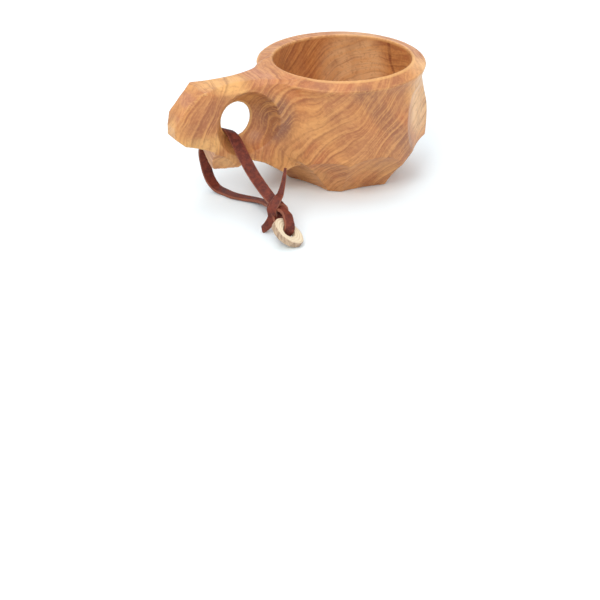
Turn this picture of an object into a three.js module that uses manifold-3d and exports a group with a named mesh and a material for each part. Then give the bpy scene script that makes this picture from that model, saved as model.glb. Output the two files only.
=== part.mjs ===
// Kuksa: a Nordic drinking cup carved from one piece of birch burl, with a finger hole through its handle.
// A flat leather lace is looped through the hole, knotted, and carries a slice of antler on its end loop.
// Millimetres, +Z up. The origin is on the bowl's axis, in the plane that the cup stands on; the handle points to -X.

import * as THREE from 'three';
import { mergeVertices } from 'three/addons/utils/BufferGeometryUtils.js';
import Module from 'manifold-3d';

const wasm = await Module();
wasm.setup();

const DEG = Math.PI / 180;

// ---------- driving dimensions ----------

const CUP_HEIGHT = 68;
const LIP_RADIUS = 38.5;            // inner edge of the rim
const RIM_RADIUS = 47;              // outer edge of the rim
const BELLY_RADIUS = 47.6;          // widest part of the blank, before the knife facets
const BASE_RADIUS = 33.5;
const FLOOR_THICKNESS = 11;
const LATHE_SEGMENTS = 60;

// The rim slopes down outwards: most, and at its narrowest, on the side at this angle.
const RIM_DROP = { mean: 3, swing: 1.9, narrowing: 1, lowest: -100 };
const RIM_EDGE_Z = CUP_HEIGHT - RIM_DROP.mean;

const HOLE = { x: -66.8, z: 44.3 };         // centre of the finger hole
const HOLE_HOLLOW = [17.8, 18, 18.4];       // each side of the hole is an ellipsoidal hollow of these radii
const HOLE_LEAN = 25;                       // the hollows' long way leans to the bowl by this angle
const HOLE_SKEW = 1.8;                      // and the one at the back lies twice this further from the bowl
const HOLLOW_OFFSET = 15.5;                 // from the handle's middle plane to a hollow's centre

const LACE_TUBE_RADIUS = 1.3;       // the lace is flat, 6 x 1.8; a round tube holds its route
const TAIL_TUBE_RADIUS = 1.1;
const TUBE_SIDES = 8;
const TOUCH_GAP = 0.35;             // left between pieces that touch

const KNOT = { x: -69.3, y: -53, z: 12.3, radii: [5.6, 5.8, 4.8] };
const RING = { long: 9.2, short: 6.8, hole: 3.5, thickness: 3.8, bevel: 0.6 };
const RING_CENTRE = [-72.5, -69.9, 6.74];
const RING_LEAN = { roll: 7.6, pitch: 37, heading: -45 };   // it leans on the lace, with its long way's end down

// ---------- solids ----------

function solid(geometry) {
  const bare = geometry.clone();
  bare.deleteAttribute('normal');
  bare.deleteAttribute('uv');
  const merged = mergeVertices(bare, 1e-4);
  return new wasm.Manifold(new wasm.Mesh({
    numProp: 3,
    vertProperties: new Float32Array(merged.attributes.position.array),
    triVerts: new Uint32Array(merged.index.array),
  }));
}

function geometryOf(manifold) {
  const mesh = manifold.getMesh();
  const geometry = new THREE.BufferGeometry();
  geometry.setAttribute('position', new THREE.BufferAttribute(mesh.vertProperties, 3));
  geometry.setIndex(new THREE.BufferAttribute(mesh.triVerts, 1));
  return geometry;
}

// A surface of revolution about +Z from [radius, height] points.
function latheGeometry(points) {
  const profile = points.map(([radius, height]) => new THREE.Vector2(radius, height));
  const geometry = new THREE.LatheGeometry(profile, LATHE_SEGMENTS);
  geometry.rotateX(Math.PI / 2);
  return geometry;
}

function ellipsoid(centre, radii, segments = 48) {
  const geometry = new THREE.SphereGeometry(1, segments, (2 * segments) / 3);
  geometry.scale(...radii);
  geometry.translate(...centre);
  return solid(geometry);
}

// A prism over an outline in X and Z, running across Y.
function sidePrism(points, halfWidth) {
  const shape = new THREE.Shape(points.map(([x, z]) => new THREE.Vector2(x, z)));
  const geometry = new THREE.ExtrudeGeometry(shape, { depth: 2 * halfWidth, bevelEnabled: false });
  geometry.rotateX(Math.PI / 2);
  geometry.translate(0, halfWidth, 0);
  return solid(geometry);
}

// A prism over an outline in X and Y, running up Z.
function planPrism(points, height) {
  const shape = new THREE.Shape(points.map(([x, y]) => new THREE.Vector2(x, y)));
  const geometry = new THREE.ExtrudeGeometry(shape, { depth: height, bevelEnabled: false });
  return solid(geometry);
}

// A round gouge: it cuts depth deep into the surface at point, along the outward normal.
function gouge(point, normal, depth, radius) {
  const outward = new THREE.Vector3(...normal).normalize();
  const centre = new THREE.Vector3(...point).addScaledVector(outward, radius - depth);
  return ellipsoid(centre.toArray(), [radius, radius, radius]);
}

// A knife facet on the bowl, at an angle about its axis, hollow between two points of the wall's section.
function facet([angle, lowRadius, lowZ, highRadius, highZ, radius]) {
  const chord = new THREE.Vector2(highRadius - lowRadius, highZ - lowZ);
  const reach = Math.sqrt(radius ** 2 - (chord.length() / 2) ** 2);
  const outward = new THREE.Vector2(chord.y, -chord.x).normalize();
  const r = (lowRadius + highRadius) / 2 + outward.x * reach;
  const z = (lowZ + highZ) / 2 + outward.y * reach;
  return ellipsoid([r * Math.cos(angle * DEG), r * Math.sin(angle * DEG), z], [radius, radius, radius]);
}

// A tube of a few flat sides along a smooth curve through the points.
function tube(points, radius, steps) {
  const corners = [];
  for (let i = 0; i < TUBE_SIDES; i += 1) {
    const angle = (2 * Math.PI * i) / TUBE_SIDES;
    corners.push(new THREE.Vector2(radius * Math.cos(angle), radius * Math.sin(angle)));
  }
  const path = new THREE.CatmullRomCurve3(points.map((point) => new THREE.Vector3(...point)));
  return solid(new THREE.ExtrudeGeometry(new THREE.Shape(corners), { steps, extrudePath: path }));
}

// ---------- cup ----------

const OUTER_PROFILE = [
  [0, 0], [BASE_RADIUS, 0], [38, 5.5], [43, 12], [46.2, 20], [BELLY_RADIUS, 30], [BELLY_RADIUS, 40],
  [46.4, 50], [45.6, 57], [RIM_RADIUS, RIM_EDGE_Z], [LIP_RADIUS, CUP_HEIGHT], [0, CUP_HEIGHT],
];
const CAVITY_PROFILE = [
  [0, FLOOR_THICKNESS], [12, FLOOR_THICKNESS + 0.6], [21, 14.5], [28, 20], [33, 28], [36.4, 38], [38.2, 50],
  [38.6, 60], [LIP_RADIUS, CUP_HEIGHT], [LIP_RADIUS, CUP_HEIGHT + 4], [0, CUP_HEIGHT + 4],
];

// Knife facets, each [angle, low radius, low z, high radius, high z, hollow radius].
const FOOT_FACETS = [
  [-97, 27.5, 0, 45.5, 24, 90], [-47, 28, 0, 44.5, 23, 80], [-10, 29.5, 0, 44.5, 28, 80],
  [30, 31.5, 0, 45.5, 21, 80], [71, 32, 0, 45.5, 19, 60], [114, 32, 0, 45.5, 17, 80],
  [158, 31, 0, 45, 15, 80], [-161, 26.5, 0, 45, 22, 90], [-128, 31, 0, 44.5, 22, 60],
];
const WALL_FACETS = [
  [-50, 44.6, 24, 44.4, 62, 110], [-128, 45.6, 22, 45.2, 62, 200], [-5, 45.4, 20, 44.8, 60, 150],
  [42, 45.4, 20, 45, 60, 150], [88, 45.2, 20, 45, 60, 150], [130, 45.4, 20, 45.2, 60, 150],
];

const HANDLE_SIDE = [
  [-34, 66.8], [-60, 67.2], [-74, 67], [-88.5, 65.8], [-96, 60], [-101.6, 53.5], [-104.5, 47], [-104.5, 41.5],
  [-100, 37.5], [-88, 33.5], [-84, 32], [-81, 22], [-78.5, 20.4], [-69.5, 20.6], [-63, 23], [-55, 20],
  [-46, 14], [-37, 19],
];
const HANDLE_HALF_WIDTHS = [
  [-30, 22], [-44, 16.5], [-52, 12], [-60, 10.4], [-72, 10.6], [-86, 11.6], [-94, 10.6], [-105, 7],
];
const FLANK_GOUGES = [
  { point: [-95, 12, 57], normal: [-0.35, 1, 0.25], depth: 3.6, radius: 34 },
  { point: [-70, 10.5, 66], normal: [0, 1, 1.2], depth: 2.6, radius: 60 },
];

// The bowl's blank: a solid of revolution whose outer rim edge rises and falls round the cup.
function bowlBlank() {
  const geometry = latheGeometry(OUTER_PROFILE);
  const position = geometry.attributes.position;
  for (let i = 0; i < position.count; i += 1) {
    if (Math.abs(position.getZ(i) - RIM_EDGE_Z) > 0.01) continue;
    const swing = Math.cos(Math.atan2(position.getY(i), position.getX(i)) - RIM_DROP.lowest * DEG);
    const grow = 1 - (RIM_DROP.narrowing * swing) / RIM_RADIUS;
    position.setXYZ(i, position.getX(i) * grow, position.getY(i) * grow, RIM_EDGE_Z - RIM_DROP.swing * swing);
  }
  return solid(geometry);
}

function handle() {
  const rightEdge = HANDLE_HALF_WIDTHS.map(([x, half]) => [x, -half]);
  const leftEdge = HANDLE_HALF_WIDTHS.map(([x, half]) => [x, half]);
  let body = sidePrism(HANDLE_SIDE, 30).intersect(planPrism([...rightEdge.reverse(), ...leftEdge], 80));
  for (const side of [-1, 1]) {
    for (const { point, normal, depth, radius } of FLANK_GOUGES) {
      const [x, y, z] = point;
      body = body.subtract(gouge([x, side * y, z], [normal[0], side * normal[1], normal[2]], depth, radius));
    }
  }
  return body;
}

function fingerHollow(side) {
  const geometry = new THREE.SphereGeometry(1, 48, 32);
  geometry.scale(...HOLE_HOLLOW);
  geometry.rotateY(HOLE_LEAN * DEG);
  geometry.translate(HOLE.x - side * HOLE_SKEW, side * HOLLOW_OFFSET, HOLE.z);
  return solid(geometry);
}

function cupBody() {
  let body = bowlBlank();
  for (const cut of [...FOOT_FACETS, ...WALL_FACETS]) body = body.subtract(facet(cut));
  body = body.add(handle());
  for (const side of [-1, 1]) {
    body = body.subtract(fingerHollow(side));
  }
  return body.subtract(solid(latheGeometry(CAVITY_PROFILE)));
}

// ---------- lace ----------

// From the knot up over the bar below the finger hole, down behind the handle and back along the ground.
const LACE_ROUTE = [
  [-69.3, -53, 12.3], [-69.9, -47.4, 16.4], [-70.6, -39.9, 19.4], [-70.6, -28, 23.6], [-70.6, -17.2, 29.4],
  [-70.6, -8.4, 35.2], [-70.8, -2.4, 38.2], [-71.4, 2, 38.6], [-73.6, 7.4, 36.4], [-76.8, 13.3, 31],
  [-79.8, 14.4, 24.6], [-79.4, 14, 15.5], [-77.9, 12, 7], [-75.8, 8, 2.6], [-73.2, 2.4, 1.5],
  [-71, -4, 1.5], [-67.4, -9.4, 1.5], [-64, -15, 2], [-62.6, -22.5, 3.4], [-63.4, -32, 5.4],
  [-66, -43.6, 9], [-69.3, -53, 12.3],
];
const LONG_TAIL_ROUTE = [[-69.3, -53, 12.3], [-65.6, -49.4, 17.2], [-61.2, -44.5, 22.6], [-57.2, -39.4, 27.8]];
const SHORT_TAIL_ROUTE = [[-69.3, -53, 12.3], [-73.1, -54.4, 9.4], [-75.1, -52.8, 4.7], [-76.6, -50, 1.4]];

// The end loop: from the knot over the antler's edge, down its hole and back below it.
const END_LOOP = [
  [-69.3, -53, 13.6], [-68.9, -58.6, 13.8], [-69, -61.6, 13.8], [-69.3, -64.1, 13.5], [-70, -66.5, 12.1],
  [-70.7, -68.9, 10.6], [-71.5, -70.1, 8.8], [-72.5, -69.7, 6.8], [-73.2, -68, 4.9], [-73.2, -65.8, 4.7],
  [-72.5, -62.5, 6], [-71.6, -59, 7.7], [-70.7, -55.7, 9.4], [-69.6, -53, 11.2],
];

function knotEllipsoid(margin) {
  return ellipsoid([KNOT.x, KNOT.y, KNOT.z], KNOT.radii.map((radius) => radius + margin), 24);
}

function lace() {
  return tube(LACE_ROUTE, LACE_TUBE_RADIUS, 44).subtract(knotEllipsoid(TOUCH_GAP));
}

function laceKnot() {
  return knotEllipsoid(0)
    .add(tube(END_LOOP, TAIL_TUBE_RADIUS, 30))
    .add(tube(LONG_TAIL_ROUTE, TAIL_TUBE_RADIUS, 6))
    .add(tube(SHORT_TAIL_ROUTE, TAIL_TUBE_RADIUS, 6))
    .subtract(tube(LACE_ROUTE.slice(0, 5), LACE_TUBE_RADIUS + TOUCH_GAP, 12).subtract(knotEllipsoid(0)))
    .subtract(tube(LACE_ROUTE.slice(-5), LACE_TUBE_RADIUS + TOUCH_GAP, 12).subtract(knotEllipsoid(0)));
}

// ---------- antler slice ----------

function antlerGeometry() {
  const { long, short, hole, thickness, bevel } = RING;
  const outline = new THREE.Shape();
  outline.absellipse(0, 0, long - bevel, short - bevel, 0, 2 * Math.PI);
  const eye = new THREE.Path();
  eye.absarc(0, 0, hole + bevel, 0, 2 * Math.PI);
  outline.holes.push(eye);
  const geometry = new THREE.ExtrudeGeometry(outline, {
    depth: thickness - 2 * bevel, bevelThickness: bevel, bevelSize: bevel, bevelSegments: 1, curveSegments: 16,
  });
  geometry.translate(0, 0, bevel - thickness / 2);
  return geometry;
}

// ---------- assembly ----------

const BIRCH = new THREE.MeshStandardMaterial({ color: 0xc98f5c, roughness: 0.5, metalness: 0 });
const LEATHER = new THREE.MeshStandardMaterial({ color: 0x7a4030, roughness: 0.65, metalness: 0 });
const ANTLER = new THREE.MeshStandardMaterial({ color: 0xe2d3b6, roughness: 0.55, metalness: 0 });

function named(name, geometry, material) {
  const mesh = new THREE.Mesh(geometry, material);
  mesh.name = name;
  return mesh;
}

// The antler slice lies beyond the knot with one end of its long way on the ground.
function antlerSlice() {
  const slice = named('antler_ring', geometryOf(solid(antlerGeometry())), ANTLER);
  const { roll, pitch, heading } = RING_LEAN;
  slice.position.set(...RING_CENTRE);
  slice.rotation.set(roll * DEG, pitch * DEG, heading * DEG, 'ZYX');
  return slice;
}

const kuksa = new THREE.Group();
kuksa.add(named('cup_body', geometryOf(cupBody()), BIRCH));
kuksa.add(named('lace', geometryOf(lace()), LEATHER));
kuksa.add(named('lace_knot', geometryOf(laceKnot()), LEATHER));
kuksa.add(antlerSlice());

export default kuksa;
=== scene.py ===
"""Kuksa: a carved birch burl cup with a leather lace and an antler slice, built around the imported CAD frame.

The cup's surface is worked out in millimetres, as in the CAD, and scaled to metres when its mesh is made. Its
places in the materials are in millimetres too. Everything else is in metres.
"""

import math

import bmesh
import bpy
import numpy as np
import openvdb
from mathutils import Euler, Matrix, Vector


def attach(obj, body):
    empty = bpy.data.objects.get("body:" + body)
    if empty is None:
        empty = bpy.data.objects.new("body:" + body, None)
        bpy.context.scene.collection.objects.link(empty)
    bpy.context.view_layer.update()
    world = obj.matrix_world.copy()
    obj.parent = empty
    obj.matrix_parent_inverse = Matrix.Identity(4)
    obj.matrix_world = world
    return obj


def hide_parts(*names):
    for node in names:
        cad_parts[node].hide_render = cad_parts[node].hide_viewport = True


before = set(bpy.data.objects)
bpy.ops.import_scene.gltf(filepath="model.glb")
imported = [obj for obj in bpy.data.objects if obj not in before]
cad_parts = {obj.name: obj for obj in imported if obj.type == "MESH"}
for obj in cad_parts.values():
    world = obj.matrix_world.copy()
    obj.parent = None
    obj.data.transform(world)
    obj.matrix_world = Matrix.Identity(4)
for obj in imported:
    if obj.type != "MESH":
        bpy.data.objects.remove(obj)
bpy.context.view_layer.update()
MM = 0.001


# ---------- camera ----------

RIM_CENTRE = Vector((0, 0, 0.068))
AZIMUTH, ELEVATION = math.radians(-30), math.radians(18.66)
EYE_DISTANCE = 0.75
LENS, SENSOR = 80, 36
RIM_IN_FRAME = (0.0705, 0.4062)     # right of and above the middle, as shares of the picture's width


def make_camera():
    """A camera that sees the rim's centre from the given angle, and aims so that it lies off the middle."""
    back = Vector((
        math.sin(AZIMUTH) * math.cos(ELEVATION),
        -math.cos(AZIMUTH) * math.cos(ELEVATION),
        math.sin(ELEVATION),
    ))
    data = bpy.data.cameras.new("camera")
    data.lens, data.sensor_width, data.clip_start = LENS, SENSOR, 0.01
    camera = bpy.data.objects.new("camera", data)
    to_rim = Vector((RIM_IN_FRAME[0] * SENSOR / LENS, RIM_IN_FRAME[1] * SENSOR / LENS, -1))
    aim = to_rim.rotation_difference(Vector((0, 0, -1)))
    camera.rotation_mode = "QUATERNION"
    camera.rotation_quaternion = back.to_track_quat("Z", "Y") @ aim
    camera.location = RIM_CENTRE + back * EYE_DISTANCE
    bpy.context.scene.collection.objects.link(camera)
    bpy.context.scene.camera = camera


# ---------- meshes and curves ----------

def add_mesh(name, vertices, faces):
    """A smooth-shaded piece whose faces point out."""
    mesh = bpy.data.meshes.new(name)
    mesh.from_pydata(np.asarray(vertices).tolist(), [], [list(map(int, face)) for face in faces])
    work = bmesh.new()
    work.from_mesh(mesh)
    bmesh.ops.recalc_face_normals(work, faces=work.faces)
    work.to_mesh(mesh)
    work.free()
    mesh.polygons.foreach_set("use_smooth", [True] * len(mesh.polygons))
    piece = bpy.data.objects.new(name, mesh)
    bpy.context.scene.collection.objects.link(piece)
    return piece


def add_attribute(piece, name, values):
    attribute = piece.data.attributes.new(name, "FLOAT", "POINT")
    attribute.data.foreach_set("value", np.asarray(values, np.float32).ravel())


def unit(vectors):
    return vectors / np.maximum(np.linalg.norm(vectors, axis=-1, keepdims=True), 1e-12)


SPAN_STEPS = 24         # points worked out between two given ones


def spline(points, count):
    """A smooth curve through the points (centripetal Catmull-Rom), as count points about evenly spaced."""
    points = np.asarray(points, float)
    ends = np.vstack([2 * points[0] - points[1], points, 2 * points[-1] - points[-2]])
    dense = []
    for p0, p1, p2, p3 in zip(ends[:-3], ends[1:-2], ends[2:-1], ends[3:]):
        t0 = 0.0
        t1 = t0 + max(np.linalg.norm(p1 - p0), 1e-9) ** 0.5
        t2 = t1 + max(np.linalg.norm(p2 - p1), 1e-9) ** 0.5
        t3 = t2 + max(np.linalg.norm(p3 - p2), 1e-9) ** 0.5
        t = np.linspace(t1, t2, SPAN_STEPS, endpoint=False)[:, None]
        a1 = (t1 - t) / (t1 - t0) * p0 + (t - t0) / (t1 - t0) * p1
        a2 = (t2 - t) / (t2 - t1) * p1 + (t - t1) / (t2 - t1) * p2
        a3 = (t3 - t) / (t3 - t2) * p2 + (t - t2) / (t3 - t2) * p3
        b1 = (t2 - t) / (t2 - t0) * a1 + (t - t0) / (t2 - t0) * a2
        b2 = (t3 - t) / (t3 - t1) * a2 + (t - t1) / (t3 - t1) * a3
        dense.append((t2 - t) / (t2 - t1) * b1 + (t - t1) / (t2 - t1) * b2)
    dense = np.vstack([*dense, points[-1:]])
    along = np.concatenate([[0], np.cumsum(np.linalg.norm(np.diff(dense, axis=0), axis=1))])
    at = np.linspace(0, along[-1], count)
    return np.stack([np.interp(at, along, dense[:, k]) for k in range(dense.shape[1])], 1)


CORNERS = ((1, 1, 0), (-1, 1, 90), (-1, -1, 180), (1, -1, 270))     # (side, up, where its arc starts)


def corner_arc(side, up, start, turns):
    """A corner's rows (a, b, c, d). A point lies a * straight half + b * corner radius across, and c and d
    do the same for its height."""
    angles = [math.radians(start + turn) for turn in turns]
    return [(side, math.cos(angle), up, math.sin(angle)) for angle in angles]


# ---------- lace ----------

LACE_WIDTH, LACE_THICKNESS = 0.006, 0.0017
TIE_WIDTH = 0.005
STRAP_CORNER = 0.00045      # how far a strap's cut corners are rounded
LACE_STEPS, TIE_STEPS, WRAP_STEPS = 360, 120, 72    # cross-sections along each strap

KNOT = np.array((-0.0693, -0.053, 0.0123))
KNOT_TOP, KNOT_FLOOR = 0.0139, 0.0107       # heights of the two layers of lace inside the knot
THROUGH_KNOT = math.radians(-88)            # the way that the two layers pass through it
# Along the lace there, and across it.
LANYARD = np.array((math.cos(THROUGH_KNOT), math.sin(THROUGH_KNOT), 0))
LANYARD_SIDE = np.array((-LANYARD[1], LANYARD[0], 0))

# From the knot up over the bar below the finger hole, down behind the handle and back along the ground.
LACE_ROUTE = [
    (-0.0693, -0.053, 0.0123), (-0.0699, -0.0474, 0.0164), (-0.0706, -0.0399, 0.0194),
    (-0.0706, -0.028, 0.0236), (-0.0706, -0.0172, 0.0294), (-0.0706, -0.0084, 0.0352),
    (-0.0708, -0.0024, 0.0382), (-0.0714, 0.002, 0.0386), (-0.0736, 0.0074, 0.0364),
    (-0.0768, 0.0133, 0.031), (-0.0798, 0.0144, 0.0246), (-0.0794, 0.014, 0.0155),
    (-0.0779, 0.012, 0.007), (-0.0758, 0.008, 0.0026), (-0.0732, 0.0024, 0.0015),
    (-0.071, -0.004, 0.0015), (-0.0674, -0.0094, 0.0015), (-0.064, -0.015, 0.002),
    (-0.0626, -0.0225, 0.0034), (-0.0634, -0.032, 0.0054), (-0.066, -0.0436, 0.009),
    (-0.0693, -0.053, 0.0123),
]
LONG_TAIL_ROUTE = [
    (-0.0693, -0.053, 0.0123), (-0.0656, -0.0494, 0.0172), (-0.0612, -0.0445, 0.0226),
    (-0.0572, -0.0394, 0.0278),
]
SHORT_TAIL_ROUTE = [
    (-0.0693, -0.053, 0.0123), (-0.0731, -0.0544, 0.0094), (-0.0751, -0.0528, 0.0047),
    (-0.0766, -0.05, 0.0014),
]

# The end loop: from the knot over the antler's edge, down its hole and back below it.
END_LOOP = [
    (-0.0693, -0.053, 0.0136), (-0.0689, -0.0586, 0.0138), (-0.069, -0.0616, 0.0138),
    (-0.0693, -0.0641, 0.0135), (-0.07, -0.0665, 0.0121), (-0.0707, -0.0689, 0.0106),
    (-0.0715, -0.0701, 0.0088), (-0.0725, -0.0697, 0.0068), (-0.0732, -0.068, 0.0049),
    (-0.0732, -0.0658, 0.0047), (-0.0725, -0.0625, 0.006), (-0.0716, -0.059, 0.0077),
    (-0.0707, -0.0557, 0.0094), (-0.0696, -0.053, 0.0112),
]

# The way the lace's inner face looks at each point of its path, which takes LACE_ROUTE from its end back.
LACE_INNER = [
    (0, 0, 1), (0.05, 0.1, 1), (0.1, 0.2, 0.97), (0.1, 0.2, 0.97), (0.05, 0.1, 1), (0, 0, 1),
    (0, -0.05, 1), (0.05, -0.25, 0.97), (0.2, -0.68, 0.7), (0.05, -0.95, 0.3), (-0.1, -1, 0.1),
    (0.05, -0.95, -0.2), (0.1, -0.85, -0.5), (-0.3, -0.5, -0.8), (-0.42, -0.15, -0.88),
    (-0.3, 0.2, -0.92), (0.15, 0.6, -0.75), (0.3, 0.75, -0.6), (0.3, 0.75, -0.6), (0.3, 0.7, -0.65),
    (0.2, 0.4, -0.9), (0, 0, -1),
]

# The same for the end loop, as shares of the way from the antler's hole to the knot and of its hole's axis.
END_LOOP_INNER = [
    (0, -1), (0, -1), (0, -1), (0, -1), (0.3, -1), (0.8, -0.6), (1, 0), (0.6, 0.8), (0.1, 1), (0, 1),
    (0, 1), (0, 1), (0, 1),
]

# As cut, from end to end.
LACE_WIDTHS = [0.0048, 0.0048, 0.0055, 0.006, 0.0066, 0.0064, 0.006, 0.0058, 0.006]
LACE_SETTLE = 0.0006        # the strap is thinner than its route's tube: it lies this much closer to the bar
BAR_FOOT = 0.03             # and half as much lower where its route is below this height
END_PAST_KNOT = 0.0004      # the end loop's end stops this far beyond the knot's middle

# The tie over the knot, between its two tails.
TIE_OVER_KNOT = [
    (-0.0652, -0.0485, 0.0182), (-0.0677, -0.0512, 0.0182), (-0.0706, -0.0538, 0.0172),
    (-0.0736, -0.0554, 0.0138),
]
TIE_INNER = [
    (0.45, 0.8, -0.3), (0.45, 0.8, -0.35), (0.35, 0.6, -0.7), (0.2, 0.4, -0.9), (0.3, 0.4, -0.85),
    (0.65, 0.5, -0.5), (0.7, 0.6, -0.1), (0.6, 0.75, -0.2), (0.3, 0.5, -0.8),
]
TIE_WIDTHS = [0.0015, 0.0022, 0.003, 0.004, 0.005, 0.0052, 0.0046, 0.004]

WRAP_HALF_WIDTH, WRAP_HALF_HEIGHT, WRAP_HEIGHT = 0.0043, 0.0035, 0.0123
WRAP_SLANT = 0.001          # its top lies this far back along the lace, and its bottom this far ahead
WRAP_TILT = 0.25            # how much its upper half also faces along the lace

# The antler slice, whose axes are its long way, its short way and its hole's axis.
RING = {"long": 0.0092, "short": 0.0068, "hole": 0.0035, "thickness": 0.0038}
RING_CORNER = 0.0006
RING_CENTRE = np.array((-0.0725, -0.0699, 0.00674))
RING_AXES = np.array(Euler([math.radians(turn) for turn in (7.6, 37, -45)]).to_matrix()).T


def strap_section():
    """The strap's outline: its four corners, with points between them on its wide faces only."""
    rows = []
    for side, up, start in CORNERS:
        rows += corner_arc(side, up, start, (0, 30, 60, 90))
        if side == up:
            rows += [(side * share, 0, up, up) for share in (0.6, 0.2, -0.2, -0.6)]
    return np.array(rows)


def strap(name, route, inner_faces, widths, steps):
    """A flat strap along the route. inner_faces gives the way its inner face looks at each route point, and
    widths its width from end to end. Its attribute 'cut' is 1 on the cut edges. Returns it and its path."""
    route = np.asarray(route, float)
    line = spline(route, steps)
    where = np.concatenate([[0], np.cumsum(np.linalg.norm(np.diff(route, axis=0), axis=1))])
    share = np.linspace(0, 1, steps)
    faces = np.asarray(inner_faces, float)
    inner = np.stack([np.interp(share, where / where[-1], faces[:, k]) for k in range(3)], 1)
    for _ in range(steps // len(route)):
        inner[1:-1] = (inner[:-2] + 2 * inner[1:-1] + inner[2:]) / 4
    tangent = unit(np.gradient(line, axis=0))
    inner = unit(inner - (inner * tangent).sum(1, keepdims=True) * tangent)
    across = np.cross(tangent, inner)
    half_width = np.interp(share, np.linspace(0, 1, len(widths)), widths)[:, None] / 2

    a, b, c, d = strap_section().T
    out = a * (half_width - STRAP_CORNER) + b * STRAP_CORNER
    lift = c * (LACE_THICKNESS / 2 - STRAP_CORNER) + d * STRAP_CORNER
    vertices = line[:, None] + across[:, None] * out[..., None] + inner[:, None] * lift[..., None]
    ring = len(a)
    quads = [
        (i * ring + j, i * ring + (j + 1) % ring, (i + 1) * ring + (j + 1) % ring, (i + 1) * ring + j)
        for i in range(steps - 1) for j in range(ring)
    ]
    ends = [tuple(range(ring)), tuple((steps - 1) * ring + j for j in range(ring))]
    piece = add_mesh(name, vertices.reshape(-1, 3), quads + ends)
    add_attribute(piece, "cut", np.tile(np.abs(b) > 0.4, steps))
    return piece, line


def on_lanyard(distance, height, aside=0.0):
    """A point at a distance beyond the knot's middle along the lace, and aside from it."""
    flat = KNOT + LANYARD * distance + LANYARD_SIDE * aside
    return (flat[0], flat[1], height)


def make_lace():
    """One strap from the knot along the ground, over the bar, back through the knot and round the antler."""
    route = [on_lanyard(0, KNOT_FLOOR)]
    for point, face in zip(LACE_ROUTE[-2:0:-1], LACE_INNER[1:]):
        on_bar = point[2] > BAR_FOOT
        settle = unit(np.array(face, float)) * LACE_SETTLE if on_bar else np.array((0, 0, -LACE_SETTLE / 2))
        route.append(tuple(np.array(point) + settle))
    route.append(on_lanyard(0, KNOT_TOP))
    route += [*END_LOOP[1:-1], on_lanyard(END_PAST_KNOT, KNOT_FLOOR)]
    axis = RING_AXES[2]
    to_knot = KNOT - RING_CENTRE
    to_knot = unit(to_knot - (to_knot @ axis) * axis)
    faces = LACE_INNER + [tuple(to_knot * near + axis * up) for near, up in END_LOOP_INNER]
    piece, line = strap("leather_lace", route, faces, LACE_WIDTHS, LACE_STEPS)
    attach(piece, "cup")
    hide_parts("lace")
    return piece


def make_tie():
    """The lace's two ends, as one strap from the long tail's tip across the knot to the short tail."""
    route = [*LONG_TAIL_ROUTE[:1:-1], *TIE_OVER_KNOT, *SHORT_TAIL_ROUTE[1:]]
    piece, line = strap("leather_tie", route, TIE_INNER, TIE_WIDTHS, TIE_STEPS)
    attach(piece, "cup")
    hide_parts("lace_knot")
    return piece, line


def make_wrap():
    """The turn that binds the lace's two layers together under the tie."""
    route, faces = [], []
    for turn in np.linspace(-90, 270, 17):
        angle = math.radians(turn)
        aside, up = math.cos(angle), math.sin(angle)
        tilt = -WRAP_TILT * max(up, 0)
        height = WRAP_HEIGHT + WRAP_HALF_HEIGHT * up
        route.append(on_lanyard(-WRAP_SLANT * up, height, WRAP_HALF_WIDTH * aside))
        faces.append(tuple(-aside * LANYARD_SIDE + tilt * LANYARD - np.array((0, 0, up))))
    piece, _ = strap("leather_wrap", route, faces, [TIE_WIDTH, TIE_WIDTH], WRAP_STEPS)
    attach(piece, "cup")
    return piece


# ---------- antler slice ----------

ANTLER_STEPS, ANTLER_ROWS = 144, 14     # points round the slice, and across each of its faces
ANTLER_INSET = 0.0002                   # its worn outside lies this far inside the CAD's
SAW_MARK_HEIGHT = 0.00005


def ripple(angle, *waves):
    """A sum of (size, count, phase) waves round a circle."""
    return sum(size * np.sin(count * angle + phase) for size, count, phase in waves)


def antler_section():
    """The slice's section: its four corners, with points between them on all four sides."""
    rows = []
    shares = np.linspace(1, -1, ANTLER_ROWS + 2)[1:-1]
    for side, up, start in CORNERS:
        rows += corner_arc(side, up, start, (0, 22.5, 45, 67.5, 90))
        if side == up:
            rows += [(side * share, 0, up, up) for share in shares]
        else:
            rows += [(side, side, up * share, 0) for share in shares[::2]]
    return np.array(rows)


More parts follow.
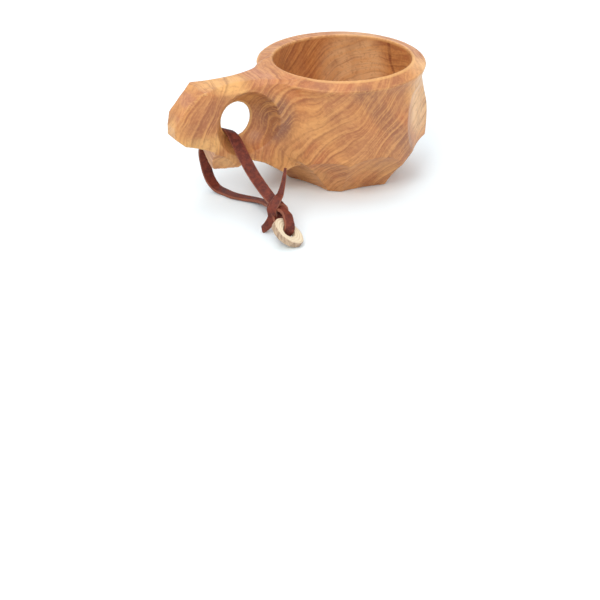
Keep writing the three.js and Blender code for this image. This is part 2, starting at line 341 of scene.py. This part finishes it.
def make_antler():
    """A slanting sawn slice with a drilled hole: oblong, slightly lumpy outside, with worn corners."""
    angle = np.linspace(0, 2 * math.pi, ANTLER_STEPS, endpoint=False)[:, None]
    outer = 1 / np.sqrt((np.cos(angle) / RING["long"]) ** 2 + (np.sin(angle) / RING["short"]) ** 2)
    outer = outer - ANTLER_INSET + ripple(angle, (0.00014, 3, 0.4), (0.0001, 7, 1.9), (0.00006, 13, 0.2))
    hole = RING["hole"] + ripple(angle, (0.00006, 3, 1.0), (0.00004, 8, 2.0))

    a, b, c, d = antler_section().T
    radius = (outer + hole) / 2 + a * ((outer - hole) / 2 - RING_CORNER) + b * RING_CORNER
    height = c * (RING["thickness"] / 2 - RING_CORNER) + d * RING_CORNER + 0 * angle
    share = (radius - hole) / (outer - hole)
    on_face = np.sign(c) * (np.abs(d) > 0.9)
    height = height + on_face * SAW_MARK_HEIGHT * np.sin(24 * share + ripple(angle, (1.5, 2, 0.5)))
    local = np.stack([radius * np.cos(angle), radius * np.sin(angle), height], -1)
    points = RING_CENTRE + local @ RING_AXES

    rows = len(a)
    quads = []
    for i in range(ANTLER_STEPS):
        here, there = i * rows, (i + 1) % ANTLER_STEPS * rows
        quads += [(here + j, here + (j + 1) % rows, there + (j + 1) % rows, there + j) for j in range(rows)]
    piece = add_mesh("antler_slice", points.reshape(-1, 3), quads)
    add_attribute(piece, "share", share)
    add_attribute(piece, "bark", np.tile((a == 1) & (np.abs(d) < 0.75), ANTLER_STEPS))
    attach(piece, "antler")
    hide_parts("antler_ring")
    return piece


# ---------- cup ----------

CUP_HEIGHT, LIP_RADIUS, RIM_RADIUS = 68, 38.5, 47
RIM_DROP = {"mean": 3, "swing": 1.9, "narrowing": 1, "lowest": -100}
NECK_Z, NECK_RISE = 55, 10      # the rim's uneven width grows from here up, over this height
RIM_SPREAD = 0.9                # how much more the rim spreads opposite its lowest side

# The finger hole is where two ellipsoidal hollows meet, one from each side of the handle.
HOLE_AT = (-66.8, 44.3)         # x and z of its middle
HOLE_HOLLOW = (17.8, 18, 18.4)  # the hollows' radii
HOLLOW_OFFSET = 15.5            # from the handle's middle plane to a hollow's centre
HOLE_LEAN = math.radians(25)    # the hollows' long way leans to the bowl by this angle
HOLE_SKEW = 1.8                 # the front hollow lies this much nearer the bowl, and the back one further

# The bowl's section outside and inside, as (radius, z).
OUTER_PROFILE = [
    (33.5, 0), (38, 5.5), (43, 12), (46.2, 20), (47.6, 30), (47.6, 40), (45.6, 50), (44.6, 58), (47, 65),
    (49.2, 73),
]
CAVITY_PROFILE = [
    (0, 11), (12, 11.6), (21, 14.5), (28, 20), (33, 28), (36.4, 38), (38.2, 50), (38.6, 60), (38.5, 68),
    (38.5, 80),
]

# Knife facets, each (angle, low radius, low z, high radius, high z, hollow radius).
FACETS = [
    (-97, 27.5, 0, 45.5, 24, 90), (-47, 28, 0, 44.5, 23, 80), (-10, 29.5, 0, 44.5, 28, 80),
    (30, 31.5, 0, 45.5, 21, 80), (71, 32, 0, 45.5, 19, 60), (114, 32, 0, 45.5, 17, 80),
    (158, 31, 0, 45, 15, 80), (-161, 26.5, 0, 45, 22, 90), (-128, 31, 0, 44.5, 22, 60),
    (-50, 44.6, 24, 44.4, 62, 110), (-128, 45.6, 22, 45.2, 62, 200), (-5, 45.4, 20, 44.8, 60, 150),
    (42, 45.4, 20, 45, 60, 150), (88, 45.2, 20, 45, 60, 150), (130, 45.4, 20, 45.2, 60, 150),
]

# The handle's outline from the side, as (x, z), and its half width along x.
HANDLE_SIDE = [
    (-34, 66.8), (-60, 67.2), (-74, 67), (-88.5, 65.8), (-96, 60), (-101.6, 53.5), (-104.5, 47),
    (-104.5, 41.5), (-100, 37.5), (-88, 33.5), (-84.6, 32), (-82.9, 22), (-81.6, 18.4), (-76, 18.8),
    (-69.5, 21), (-63, 23), (-55, 20), (-46, 14), (-37, 19),
]
HANDLE_HALF_WIDTHS = [
    (-30, 22), (-44, 16.5), (-52, 12), (-60, 10.4), (-72, 10.6), (-86, 11.6), (-94, 10.6), (-105, 7),
]

# Gouge cuts on both flanks of the handle: (point, outward normal, depth, radius), for the side at -Y.
FLANK_GOUGES = [
    ((-95, -12, 57), (-0.35, -1, 0.25), 3.6, 34),
    ((-70, -10.5, 66), (0, -1, 1.2), 2.6, 60),
    ((-93, -11.4, 39), (-0.2, -1, -0.35), 1.8, 30),
    ((-101.6, -9.2, 45), (-0.8, -0.7, 0.05), 0.9, 40),
    ((-77.5, -6.8, 22), (-0.57, -0.82, -0.6), 0.7, 30),
]
TALL_FACET = 50                     # a facet that reaches above this height is on the wall
FADE_FROM, FADE_RATE = 52, 0.05     # and fades out with the square of the height above this

# How far edges are rounded.
RIDGE = 0.45                # between knife cuts
RIM_EDGE, HANDLE_EDGE, HOLLOW_EDGE, LIP_EDGE, TOP_EDGE, FOOT_EDGE = 0.7, 0.8, 0.8, 0.9, 0.5, 0.6
HANDLE_FILLET = 3.5         # between the bowl and the handle

VOXEL = 0.8
GRID_LOW, GRID_HIGH = np.array((-108.0, -52.0, -2.4)), np.array((52.0, 52.0, 71.0))
GRID_SLAB = 24              # layers of voxels worked out at a time
LANDING_PASSES, LONGEST_STEP = 3, 0.5
BEND_REACH = 1.5            # how far off the surface its bend is measured


def smooth_max(a, b, round_off):
    """The larger of two fields, rounded over where they cross."""
    share = np.clip(0.5 + 0.5 * (a - b) / round_off, 0, 1)
    return b + (a - b) * share + round_off * share * (1 - share)


def smooth_min(a, b, round_off):
    return -smooth_max(-a, -b, round_off)


def outline_distance(u, v, outline):
    """Signed distance to a closed outline in a plane, negative inside."""
    shape = np.broadcast(u, v).shape
    nearest, inside = np.full(shape, np.inf), np.zeros(shape, bool)
    for (u0, v0), (u1, v1) in zip(outline, [*outline[1:], outline[0]]):
        du, dv = u1 - u0, v1 - v0
        t = np.clip(((u - u0) * du + (v - v0) * dv) / (du * du + dv * dv), 0, 1)
        nearest = np.minimum(nearest, (u - u0 - t * du) ** 2 + (v - v0 - t * dv) ** 2)
        if v0 != v1:
            crosses = ((v0 > v) != (v1 > v)) & (u < u0 + (v - v0) * du / dv)
            inside = inside ^ crosses
    return np.where(inside, -1, 1) * np.sqrt(nearest)


def sphere_field(x, y, z, centre, radius):
    return np.sqrt((x - centre[0]) ** 2 + (y - centre[1]) ** 2 + (z - centre[2]) ** 2) - radius


def facet_sphere(angle, low_radius, low_z, high_radius, high_z, radius):
    """Centre and radius of the sphere that cuts a facet through two points of the wall's section."""
    chord = np.array((high_radius - low_radius, high_z - low_z))
    reach = math.sqrt(radius**2 - (np.linalg.norm(chord) / 2) ** 2)
    out = np.array((chord[1], -chord[0])) / np.linalg.norm(chord)
    r = (low_radius + high_radius) / 2 + out[0] * reach
    z = (low_z + high_z) / 2 + out[1] * reach
    turn = math.radians(angle)
    return (r * math.cos(turn), r * math.sin(turn), z), radius


def bowl_field(x, y, z):
    """The bowl's outside: a turned blank under a rim that slopes down outwards, cut by knife facets."""
    heights = [point[1] for point in OUTER_SMOOTH]
    radii = [point[0] for point in OUTER_SMOOTH]
    r = np.sqrt(x * x + y * y)
    swing = np.cos(np.arctan2(y, x) - math.radians(RIM_DROP["lowest"]))
    narrowing = RIM_DROP["narrowing"] * swing
    grow = np.clip((z - NECK_Z) / NECK_RISE, 0, 1.5) * (-narrowing + RIM_SPREAD * np.clip(-swing, 0, 1))
    slope = np.interp(z, heights, np.gradient(radii, heights))
    wall = (r - np.interp(z, heights, radii) - grow) / np.sqrt(1 + slope**2)
    drop = (RIM_DROP["mean"] + RIM_DROP["swing"] * swing) / (RIM_RADIUS - LIP_RADIUS - narrowing)
    rim = (z - CUP_HEIGHT + (r - LIP_RADIUS) * drop) / np.sqrt(1 + drop**2)
    field = smooth_max(wall, rim, RIM_EDGE)
    for facet in FACETS:
        cut = -sphere_field(x, y, z, *facet_sphere(*facet))
        if facet[4] > TALL_FACET:
            cut = cut - FADE_RATE * np.clip(z - FADE_FROM, 0, 20) ** 2
        field = smooth_max(field, cut, RIDGE)
    return field


def handle_field(x, y, z):
    """The handle: a side outline crossed with a plan outline, with gouge cuts on both flanks."""
    plan = [(px, -half) for px, half in HANDLE_HALF_WIDTHS[::-1]] + HANDLE_HALF_WIDTHS
    field = smooth_max(outline_distance(x, z, HANDLE_SIDE), outline_distance(x, y, plan), HANDLE_EDGE)
    for (px, py, pz), normal, depth, radius in FLANK_GOUGES:
        for side in (1, -1):
            out = unit(np.array((normal[0], side * normal[1], normal[2]), float))
            centre = np.array((px, side * py, pz)) + out * (radius - depth)
            field = smooth_max(field, -sphere_field(x, y, z, centre, radius), RIDGE)
    return field


def hollow_field(x, y, z, side):
    """An ellipsoidal hollow on one side of the finger hole."""
    a, b, c = HOLE_HOLLOW
    right, v, up = x - HOLE_AT[0] + side * HOLE_SKEW, y - side * HOLLOW_OFFSET, z - HOLE_AT[1]
    u = right * math.cos(HOLE_LEAN) - up * math.sin(HOLE_LEAN)
    w = right * math.sin(HOLE_LEAN) + up * math.cos(HOLE_LEAN)
    k0 = np.sqrt((u / a) ** 2 + (v / b) ** 2 + (w / c) ** 2)
    k1 = np.sqrt((u / a**2) ** 2 + (v / b**2) ** 2 + (w / c**2) ** 2)
    return k0 * (k0 - 1) / np.maximum(k1, 1e-9)


def cavity_field(r, z):
    """The bowl's inside, turned round its axis."""
    return outline_distance(r, z, [*CAVITY_SMOOTH, (0, CAVITY_PROFILE[-1][1])])


def cup_field(x, y, z):
    """The whole cup as a field in millimetres: about the distance to its surface, negative inside."""
    field = smooth_min(bowl_field(x, y, z), handle_field(x, y, z), HANDLE_FILLET)
    field = smooth_max(field, z - CUP_HEIGHT, TOP_EDGE)
    for side in (1, -1):
        field = smooth_max(field, -hollow_field(x, y, z, side), HOLLOW_EDGE)
    field = smooth_max(field, -cavity_field(np.sqrt(x * x + y * y), z), LIP_EDGE)
    return smooth_max(field, -z, FOOT_EDGE)


OUTER_SMOOTH = spline(OUTER_PROFILE, 90)
CAVITY_SMOOTH = [tuple(point) for point in spline(CAVITY_PROFILE[:-1], 60)] + [CAVITY_PROFILE[-1]]


def field_slope(points, step):
    """The field's slope at each point, by differences over the step."""
    slope = np.empty_like(points)
    for k in range(3):
        shift = np.zeros(3)
        shift[k] = step
        slope[:, k] = (cup_field(*(points + shift).T) - cup_field(*(points - shift).T)) / (2 * step)
    return slope


def cup_surface():
    """Points and quads of the cup's surface: voxels find it, and each point then moves onto it exactly."""
    xs, ys, zs = [np.arange(low, high, VOXEL) for low, high in zip(GRID_LOW, GRID_HIGH)]
    field = np.empty((len(xs), len(ys), len(zs)), np.float32)
    for i in range(0, len(xs), GRID_SLAB):
        slab = slice(i, i + GRID_SLAB)
        field[slab] = cup_field(xs[slab, None, None], ys[None, :, None], zs[None, None, :])
    grid = openvdb.FloatGrid()
    grid.copyFromArray(field)
    points, quads = grid.convertToQuads(0.0)
    points = GRID_LOW + points.astype(float) * VOXEL
    for _ in range(LANDING_PASSES):
        slope = field_slope(points, 0.15)
        steepness = np.maximum((slope**2).sum(1, keepdims=True), 0.05)
        points -= np.clip(cup_field(*points.T)[:, None] * slope / steepness, -LONGEST_STEP, LONGEST_STEP)
    return points, quads


def make_cup():
    """The cup's body, shaded by its field's slope. Its attribute 'bend' is above 0 on ridges and below 0 in
    hollows."""
    points, quads = cup_surface()
    piece = add_mesh("birch_cup", points * MM, quads)
    slope = field_slope(points, 0.1)
    normals = unit(slope)
    piece.data.normals_split_custom_set_from_vertices(normals.tolist())
    away = normals * BEND_REACH
    bend = cup_field(*(points + away).T) + cup_field(*(points - away).T)
    add_attribute(piece, "bend", bend / np.linalg.norm(slope, axis=1) / BEND_REACH)
    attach(piece, "cup")
    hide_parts("cup_body")
    return piece


# ---------- materials ----------

class Graph:
    """A material's node tree, with short calls for the nodes used here. They return sockets, except that node
    returns the node it made and finish the material."""

    def __init__(self, name):
        self.material = bpy.data.materials.new(name)
        self.material.use_nodes = True
        self.tree = self.material.node_tree
        self.shader = self.tree.nodes["Principled BSDF"]

    def node(self, kind, *values, **settings):
        made = self.tree.nodes.new("ShaderNode" + kind)
        for name, value in settings.items():
            setattr(made, name, value)
        for socket, value in zip([i for i in made.inputs if i.enabled], values):
            self.feed(socket, value)
        return made

    def feed(self, socket, value):
        if isinstance(value, bpy.types.NodeSocket):
            self.tree.links.new(value, socket)
        elif value is not None:
            if socket.type == "RGBA" and len(value) == 3:
                value = (*value, 1)
            socket.default_value = value

    def place(self):
        """The point on the surface in the object's own frame, in millimetres."""
        at = self.node("TexCoord").outputs["Object"]
        return self.vector("SCALE", at, 1 / MM)

    def attribute(self, name):
        return self.node("Attribute", attribute_name=name).outputs["Fac"]

    def math(self, operation, *values, clamp=False):
        return self.node("Math", *values, operation=operation, use_clamp=clamp).outputs[0]

    def vector(self, operation, *values):
        return self.node("VectorMath", *values, operation=operation).outputs[0]

    def times(self, a, b):
        return self.math("MULTIPLY", a, b)

    def length(self, value):
        return self.node("VectorMath", value, operation="LENGTH").outputs["Value"]

    def point(self, x, y, z):
        return self.node("CombineXYZ", x, y, z).outputs[0]

    def noise(self, at, scale, detail=2.0, rough=0.5, warp=0.0, colour=False):
        made = self.node("TexNoise", at)
        made.inputs["Scale"].default_value = scale
        made.inputs["Detail"].default_value = detail
        made.inputs["Roughness"].default_value = rough
        made.inputs["Distortion"].default_value = warp
        return made.outputs["Color" if colour else "Fac"]

    def drift(self, at, scale, detail):
        """A slowly changing random vector around zero."""
        return self.vector("SUBTRACT", self.noise(at, scale, detail, colour=True), (0.5, 0.5, 0.5))

    def step(self, value, low, high, to_low=0.0, to_high=1.0):
        """A smooth step from to_low to to_high as value goes from low to high."""
        made = self.node("MapRange", value, low, high, to_low, to_high, interpolation_type="SMOOTHSTEP")
        return made.outputs[0]

    def mix(self, share, a, b):
        made = self.node("Mix", data_type="RGBA")
        for index, value in ((0, share), (6, a), (7, b)):
            self.feed(made.inputs[index], value)
        return made.outputs[2]

    def bump(self, height, distance, strength=1.0, under=None):
        made = self.node("Bump")
        made.inputs["Strength"].default_value = strength
        made.inputs["Distance"].default_value = distance
        self.feed(made.inputs["Height"], height)
        if under is not None:
            self.feed(made.inputs["Normal"], under)
        return made.outputs[0]

    def finish(self, colour, roughness, normal, **constants):
        self.feed(self.shader.inputs["Base Color"], colour)
        self.feed(self.shader.inputs["Roughness"], roughness)
        self.feed(self.shader.inputs["Normal"], normal)
        for name, value in constants.items():
            self.shader.inputs[name.replace("_", " ")].default_value = value
        return self.material


# Base colours, linear.
HONEY, PALE, TAN = (0.50, 0.190, 0.056), (0.69, 0.33, 0.108), (0.39, 0.142, 0.056)
BROWN, LINE, ORANGE = (0.30, 0.098, 0.035), (0.22, 0.066, 0.024), (0.50, 0.150, 0.044)
SAPWOOD_AND_HIGHLIGHT, CREAM = (0.77, 0.43, 0.150), (0.82, 0.51, 0.25)
PINK, SMOKE = (0.52, 0.215, 0.115), (0.235, 0.095, 0.052)

LEATHER_DARK, LEATHER_RED = (0.080, 0.011, 0.006), (0.180, 0.034, 0.017)
LEATHER_PALE_FLECK, LEATHER_CUT = (0.25, 0.058, 0.031), (0.36, 0.13, 0.07)

ANTLER_FACE, ANTLER_RING, ANTLER_CORE = (0.74, 0.62, 0.44), (0.50, 0.36, 0.22), (0.66, 0.50, 0.33)
ANTLER_RIM, ANTLER_PIT = (0.50, 0.36, 0.23), (0.30, 0.19, 0.11)
BARK_PALE, BARK_DARK = (0.52, 0.36, 0.23), (0.28, 0.17, 0.11)

# Painted light: the floor is tinted blue near the cup so that its shadow reads bluish, and turns whiter far
# off, where less lamp light reaches.
FLOOR_NEAR_SHADOW_BLUE, FLOOR_FAR_WHITENED = (0.86, 0.94, 0.97), (1, 1, 0.99)
FLOOR_FADE = (300, 1800)    # millimetres from the origin, between which the floor's colour changes

PITH = (78, -42)            # x and z of the axis that the growth rings curve around
RING_SPACING = 6.2

# Places where the burl's colour changes: (centre, radii, colour, how strongly), in millimetres.
FIGURES = [
    ((-74, 0, 66), (17, 14, 8), SAPWOOD_AND_HIGHLIGHT, 0.85),
    ((-91, -8, 38), (17, 14, 7), SAPWOOD_AND_HIGHLIGHT, 0.8),
    ((-105, 0, 45), (4.5, 9, 10), SAPWOOD_AND_HIGHLIGHT, 0.7),
    ((-76, 0, 26), (9, 16, 8), SAPWOOD_AND_HIGHLIGHT, 0.55),
    ((-90, -12, 53), (12, 8, 12), TAN, 1.0),
    ((-96, 0, 62), (5, 10, 5), PINK, 0.7),
    ((-52, 0, 67), (9, 16, 5), PINK, 0.75),
    ((-48, -8, 40), (4, 7, 7), ORANGE, 0.8),
    ((-50, -13, 45), (15, 14, 16), SMOKE, 1.0),
    ((-20, -37, 65), (9, 6, 4), ORANGE, 0.45),
    ((-34, -31, 27), (8, 9, 9), ORANGE, 0.6),
    ((-4, -33, 8), (12, 9, 7), ORANGE, 0.5),
    ((8, -38, 14), (7, 9, 11), PALE, 0.65),
    ((33, -28, 48), (20, 20, 24), CREAM, 0.85),
    ((-12, -44, 38), (20, 12, 16), TAN, 0.7),
    ((-18, 42, 45), (16, 12, 18), PALE, 0.5),
    ((25, 28, 48), (24, 20, 24), CREAM, 0.85),
    ((-28, 16, 40), (10, 20, 22), SMOKE, 0.45),
    ((28, 36, 12), (22, 16, 14), PINK, 0.5),
]

# Darker streaks: (one end, the other end, half width, colour, how strongly), in millimetres.
STREAKS = [
    ((-16, -45, 66), (24, -45, 20), 5.5, SMOKE, 0.62),
    ((37, 12, 66), (38, 9.5, 56), 1.3, LINE, 0.95),
    ((38, 9.5, 56), (37.4, 3, 46), 1.1, LINE, 0.85),
    ((-20, 30, 58), (14, 26, 22), 5, SMOKE, 0.5),
    ((30, -20, 50), (-6, -22, 20), 5, SMOKE, 0.55),
    ((18, 42, 60), (34, 30, 22), 3.5, SMOKE, 0.35),
]


def tint_figures(g, at, drift, colour):
    """The colour, tinted in soft ellipsoids whose outlines wander."""
    at = g.vector("MULTIPLY_ADD", drift, (7, 7, 7), at)
    for centre, radii, tint, strength in FIGURES:
        distance = g.length(g.vector("DIVIDE", g.vector("SUBTRACT", at, centre), radii))
        colour = g.mix(g.step(distance, 1.15, 0.55, 0, strength), colour, tint)
    return colour


def tint_streaks(g, at, drift, colour):
    """The colour, tinted along soft lines that wander."""
    at = g.vector("MULTIPLY_ADD", drift, (9, 9, 9), at)
    for start, end, half_width, tint, strength in STREAKS:
        axis = Vector(end) - Vector(start)
        off = g.vector("SUBTRACT", at, start)
        dot = g.node("VectorMath", off, tuple(axis / axis.length_squared), operation="DOT_PRODUCT")
        share = g.math("ADD", dot.outputs["Value"], 0, clamp=True)
        distance = g.length(g.vector("SUBTRACT", off, g.vector("SCALE", tuple(axis), share)))
        colour = g.mix(g.step(distance, half_width * 1.5, half_width * 0.5, 0, strength), colour, tint)
    return colour


def birch_material():
    """Burl whose growth rings curve round PITH, bent by slow noise, with wandering patches and streaks."""
    g = Graph("birch")
    at = g.place()
    drift = g.drift(at, 0.021, 2)
    bent = g.vector("MULTIPLY_ADD", drift, (24, 20, 24), at)
    bent = g.vector("MULTIPLY_ADD", g.drift(at, 0.11, 1), (1.6, 1.6, 1.6), bent)
    x, y, z = g.node("SeparateXYZ", bent).outputs
    across = g.math("SUBTRACT", x, PITH[0])
    up = g.math("SUBTRACT", z, PITH[1])
    ring = g.math("POWER", g.math("ADD", g.times(across, across), g.times(up, up)), 0.5)

    # Along the rings: bands, thin dark lines with a pale side, fibres and years of growth.
    band = g.noise(g.point(g.times(ring, 1 / 9), g.times(y, 0.012), 0.0), 1)
    cycle = g.math("FRACT", g.math("ADD", g.times(ring, 1 / RING_SPACING), g.times(band, 1.6)))
    faint = g.step(g.noise(at, 0.045, 1), 0.38, 0.64)
    line = g.times(g.times(g.step(cycle, 0.72, 0.93), g.step(cycle, 1.0, 0.95)), faint)
    shine = g.times(g.times(g.step(cycle, 0.0, 0.06), g.step(cycle, 0.30, 0.10)), faint)
    fibre = g.noise(g.point(g.times(ring, 0.95), g.times(y, 0.05), g.times(z, 0.05)), 1, 4, 0.60)
    growth = g.noise(g.point(g.times(ring, 0.40), g.times(y, 0.02), 0.0), 1, 1)

    patch = g.noise(at, 0.030, 3, 0.5, 0.4)
    blush = g.noise(at, 0.038, 2, 0.5, 0.3)
    colour = g.mix(g.step(band, 0.36, 0.66, 0, 0.6), HONEY, PALE)
    colour = g.mix(g.step(patch, 0.44, 0.60, 0, 0.72), colour, TAN)
    colour = g.mix(g.step(blush, 0.52, 0.70, 0, 0.6), colour, ORANGE)
    colour = tint_figures(g, at, drift, colour)
    colour = tint_streaks(g, at, drift, colour)

    curl = g.noise(g.vector("MULTIPLY", bent, (1, 1, 0.6)), 0.085, 2, 0.5, 0.8)
    fleck = g.noise(bent, 0.55, 2, 0.65)
    colour = g.mix(g.step(curl, 0.42, 0.64, 0, 0.30), colour, BROWN)
    colour = g.mix(g.step(growth, 0.46, 0.66, 0, 0.34), colour, PALE)
    colour = g.mix(g.times(line, 0.46), colour, LINE)
    colour = g.mix(g.times(shine, 0.46), colour, PALE)
    colour = g.mix(g.step(fibre, 0.49, 0.72, 0, 0.54), colour, BROWN)
    colour = g.mix(g.step(fibre, 0.50, 0.32, 0, 0.48), colour, PALE)
    colour = g.mix(g.step(fleck, 0.50, 0.68, 0, 0.30), colour, BROWN)
    colour = g.mix(g.step(fleck, 0.50, 0.32, 0, 0.24), colour, PALE)

    # Painted light: ridges between knife cuts get a painted highlight and hollows a painted shade, both from
    # the attribute 'bend'.
    bend = g.attribute("bend")
    colour = g.mix(g.step(bend, 0.10, 0.55, 0, 0.55), colour, SAPWOOD_AND_HIGHLIGHT)
    colour = g.mix(g.step(bend, -0.06, -0.40, 0, 0.45), colour, BROWN)

    grain = g.bump(fibre, 0.00012, 0.55)
    normal = g.bump(g.noise(at, 0.12), 0.0006, 0.5, grain)
    return g.finish(colour, g.step(fibre, 0.3, 0.7, 0.36, 0.50), normal, Specular_IOR_Level=0.42)


def leather_material():
    """Red-brown leather, mottled and pored, with paler cut edges."""
    g = Graph("leather")
    at = g.place()
    cut = g.step(g.attribute("cut"), 0.55, 0.95)
    mottle = g.noise(at, 0.32, 3, 0.6, 0.3)
    colour = g.mix(g.step(mottle, 0.32, 0.68), LEATHER_DARK, LEATHER_RED)
    # Paler flecks scattered at random by noise.
    colour = g.mix(g.step(g.noise(at, 1.4), 0.52, 0.72, 0, 0.4), colour, LEATHER_PALE_FLECK)
    colour = g.mix(g.times(cut, 0.5), colour, LEATHER_CUT)
    pores = g.node("TexVoronoi", at)
    pores.inputs["Scale"].default_value = 2.6
    grain = g.bump(pores.outputs["Distance"], 0.00010, 0.5)
    normal = g.bump(g.noise(at, 0.9, 3, 0.6), 0.0004, 0.5, grain)
    return g.finish(colour, g.step(mottle, 0.3, 0.7, 0.48, 0.66), normal, Specular_IOR_Level=0.28)


def antler_material():
    """A sawn face with rings and a pitted core inside a brown furrowed bark."""
    g = Graph("antler")
    at = g.place()
    share, bark = g.attribute("share"), g.attribute("bark")
    uneven = g.noise(at, 0.35, 3, 0.6)
    rings = g.math("SINE", g.math("ADD", g.times(share, 22), g.times(uneven, 5)))
    colour = g.mix(g.step(rings, -0.2, 1.0, 0, 0.55), ANTLER_FACE, ANTLER_RING)
    colour = g.mix(g.step(share, 0.42, 0.05, 0, 0.35), colour, ANTLER_CORE)
    colour = g.mix(g.step(share, 0.86, 1.0, 0, 0.6), colour, ANTLER_RIM)

    furrows = g.noise(g.vector("MULTIPLY", at, (1, 1, 0.35)), 0.8, 3, 0.6)
    skin = g.mix(g.step(furrows, 0.35, 0.7), BARK_PALE, BARK_DARK)
    colour = g.mix(g.times(bark, g.step(share, 0.5, 0.9)), colour, skin)

    pores = g.node("TexVoronoi", at)
    pores.inputs["Scale"].default_value = 2.2
    pits = g.times(g.step(pores.outputs["Distance"], 0.22, 0.05), g.step(share, 0.7, 0.2))
    colour = g.mix(g.times(pits, 0.5), colour, ANTLER_PIT)
    normal = g.bump(g.math("SUBTRACT", uneven, g.times(pits, 0.8)), 0.00025, 0.7)
    return g.finish(colour, g.step(uneven, 0.3, 0.7, 0.42, 0.6), normal, Specular_IOR_Level=0.45)


def floor_material():
    g = Graph("floor")
    # Painted shade and light: bluish near the cup, whiter far off.
    colour = g.mix(g.step(g.length(g.place()), *FLOOR_FADE), FLOOR_NEAR_SHADOW_BLUE, FLOOR_FAR_WHITENED)
    g.feed(g.shader.inputs["Base Color"], colour)
    g.shader.inputs["Roughness"].default_value = 0.55
    g.shader.inputs["Specular IOR Level"].default_value = 0.3
    return g.material


def paint(material, *pieces):
    for piece in pieces:
        piece.data.materials.clear()
        piece.data.materials.append(material)


# ---------- stage ----------

FLOOR_REACH = 30        # metres each way, so that its far edge never shows


def make_stage():
    corners = [(FLOOR_REACH * x, FLOOR_REACH * y, 0) for x, y in ((-1, -1), (1, -1), (1, 1), (-1, 1))]
    floor = add_mesh("floor", corners, [(0, 1, 2, 3)])
    return floor


def add_light(name, location, size, power, colour):
    """A round area light that looks at the origin."""
    data = bpy.data.lights.new(name, "AREA")
    data.shape, data.size, data.energy, data.color = "DISK", size, power, colour
    light = bpy.data.objects.new(name, data)
    light.location = location
    light.rotation_euler = Vector(location).to_track_quat("Z", "Y").to_euler()
    bpy.context.scene.collection.objects.link(light)


def make_lights():
    """Soft studio light: a bright world, a key from the front left, and two weaker lights."""
    world = bpy.data.worlds.new("world")
    world.use_nodes = True
    background = world.node_tree.nodes["Background"]
    background.inputs["Color"].default_value = (0.95, 0.97, 1, 1)
    background.inputs["Strength"].default_value = 0.92
    bpy.context.scene.world = world
    add_light("key", (-0.9, -0.7, 1.3), 0.9, 11, (1, 0.99, 0.97))
    add_light("fill", (1.1, -0.9, 0.8), 1.2, 3, (1, 1, 1))
    add_light("top", (0.1, 0.5, 1.5), 1.4, 7, (1, 1, 1))


# ---------- main ----------

bpy.context.scene.view_settings.view_transform = "Standard"
make_camera()
lace = make_lace()
tie, tie_line = make_tie()
wrap = make_wrap()
antler = make_antler()
cup = make_cup()
floor = make_stage()
make_lights()
paint(birch_material(), cup)
paint(leather_material(), lace, tie, wrap)
paint(antler_material(), antler)
paint(floor_material(), floor)
